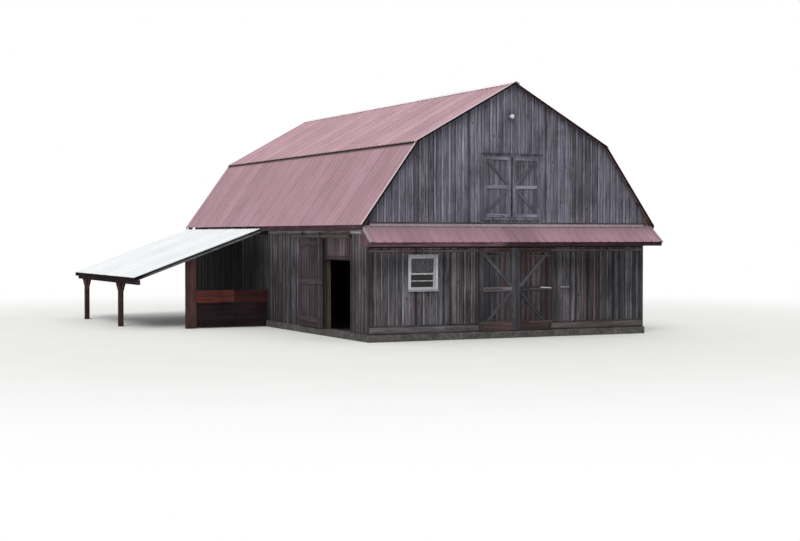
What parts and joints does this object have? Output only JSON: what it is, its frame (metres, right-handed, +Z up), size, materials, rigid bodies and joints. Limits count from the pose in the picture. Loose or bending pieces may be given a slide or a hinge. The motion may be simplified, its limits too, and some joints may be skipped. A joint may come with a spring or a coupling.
{
  "type": "gambrel barn",
  "caption": "Weathered board barn with a red ribbed metal gambrel roof, a pent roof over its front doors and an open lean-to along one side.",
  "frame": {"origin": "under the middle of the front wall, on the outer face of its boards, at the lowest ground", "axes": "+X to the right along the front, +Y back along the ridge, +Z up"},
  "size_m": [13.9308, 16.5706, 7.4244],
  "materials": {
    "grey_boards": "weathered, unpainted",
    "red_boards": "faded stain",
    "red_trim": "faded paint",
    "inner_timber": "rough sawn",
    "red_metal": "faded paint",
    "white_metal": "satin",
    "white_paint": "satin paint",
    "window_glass": "clear",
    "black_iron": "dull",
    "footing_stone": "rough"
  },
  "bodies": {
    "barn": {"footing": "footing_stone", "sill_beams": "inner_timber", "wall_posts": "inner_timber", "wall_girts": "inner_timber", "centre_posts": "inner_timber", "tie_beams": "inner_timber", "loft_joists": "inner_timber", "loft_floor": "inner_timber", "purlin_posts": "inner_timber", "gable_studs": "inner_timber", "roof_beams": "inner_timber", "lower_rafters": "inner_timber", "upper_rafters": "inner_timber", "roof_battens": "inner_timber", "front_wall_left": "grey_boards", "front_wall_right": "grey_boards", "front_gable": "grey_boards", "left_wall_front": "grey_boards", "left_wall_rear": "grey_boards", "side_transom": "red_boards", "right_wall": "grey_boards", "rear_wall": "grey_boards", "roof_lower_left": "red_metal", "roof_lower_right": "red_metal", "roof_upper_left": "red_metal", "roof_upper_right": "red_metal", "ridge_cap": "red_metal", "rake_boards": "red_trim", "eave_fascias": "red_trim", "pent_roof": "red_metal", "pent_brackets_set": "inner_timber", "pent_fascia": "red_trim", "door_posts": "inner_timber", "hinge_pintles": "black_iron", "loft_doors": "grey_boards", "loft_door_trim": "grey_boards", "window_frame": "white_paint", "window_sashes": "white_paint", "window_glass": "window_glass", "side_door_frame": "inner_timber", "side_door_track": "inner_timber", "leanto_roof": "white_metal", "leanto_rafters": "inner_timber", "leanto_beams": "inner_timber", "leanto_posts": "red_boards", "stall_front": "red_boards", "gable_lamp": "white_paint"},
    "left_leaf": {"door_left": "grey_boards", "straps_left": "black_iron"},
    "right_leaf": {"door_right": "grey_boards", "straps_right": "black_iron"},
    "sliding_leaf": {"side_door": "red_boards"}
  },
  "joints": [
    {"name": "left_door_hinge", "type": "hinge", "parent": "barn", "child": "left_leaf", "pos_m": [-1.11, -0.037, 0.22], "axis": [0, 0, -1], "range_deg": [0, 170]},
    {"name": "right_door_hinge", "type": "hinge", "parent": "barn", "child": "right_leaf", "pos_m": [1.31, -0.037, 0.22], "axis": [0, 0, 1], "range_deg": [0, 170]},
    {"name": "side_door_slide", "type": "slide", "parent": "barn", "child": "sliding_leaf", "axis": [0, -1, 0], "range_m": [0, 1.9]}
  ]
}
